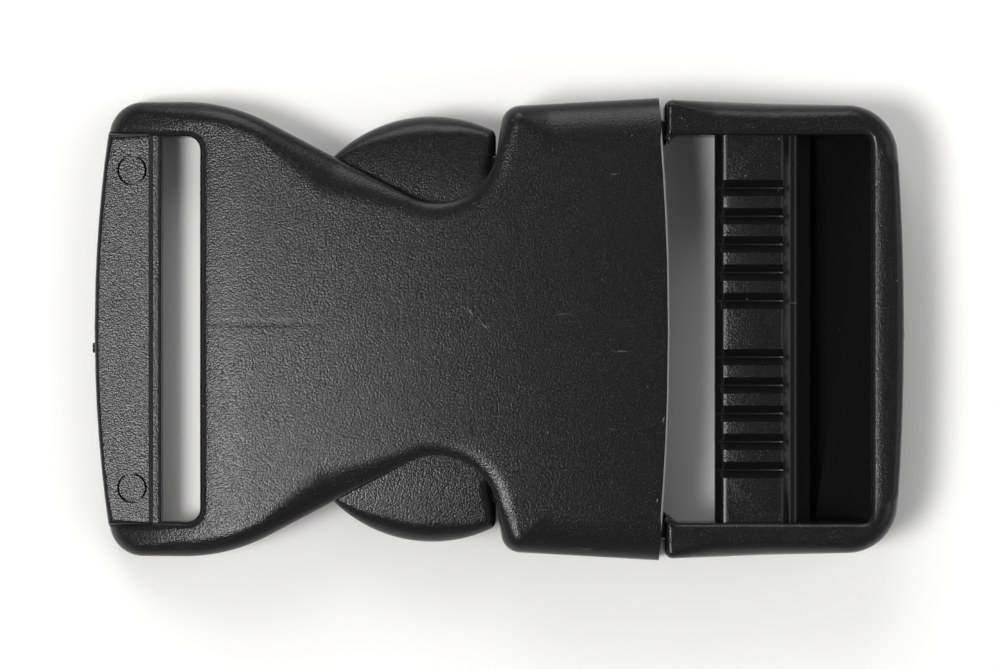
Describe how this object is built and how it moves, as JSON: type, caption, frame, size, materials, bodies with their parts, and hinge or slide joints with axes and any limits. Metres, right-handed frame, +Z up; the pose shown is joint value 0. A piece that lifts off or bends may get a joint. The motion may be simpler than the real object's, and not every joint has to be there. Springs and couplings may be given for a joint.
{
  "type": "side release buckle",
  "caption": "Fastened side release buckle for wide webbing: hollow socket with press pads in open side windows, square plug frame with a grooved ladder bar.",
  "frame": {"origin": "bottom centre of the fastened buckle's box, on the surface that it lies on", "axes": "+X along the buckle from the strap bar towards the end bar, +Y across it, +Z up from the flat underside"},
  "size_m": [0.109, 0.0618, 0.015],
  "materials": {
    "grained_plastic": "matte",
    "smooth_plastic": "satin"
  },
  "bodies": {
    "root": {"socket": "grained_plastic", "plug": "smooth_plastic"}
  },
  "joints": []
}
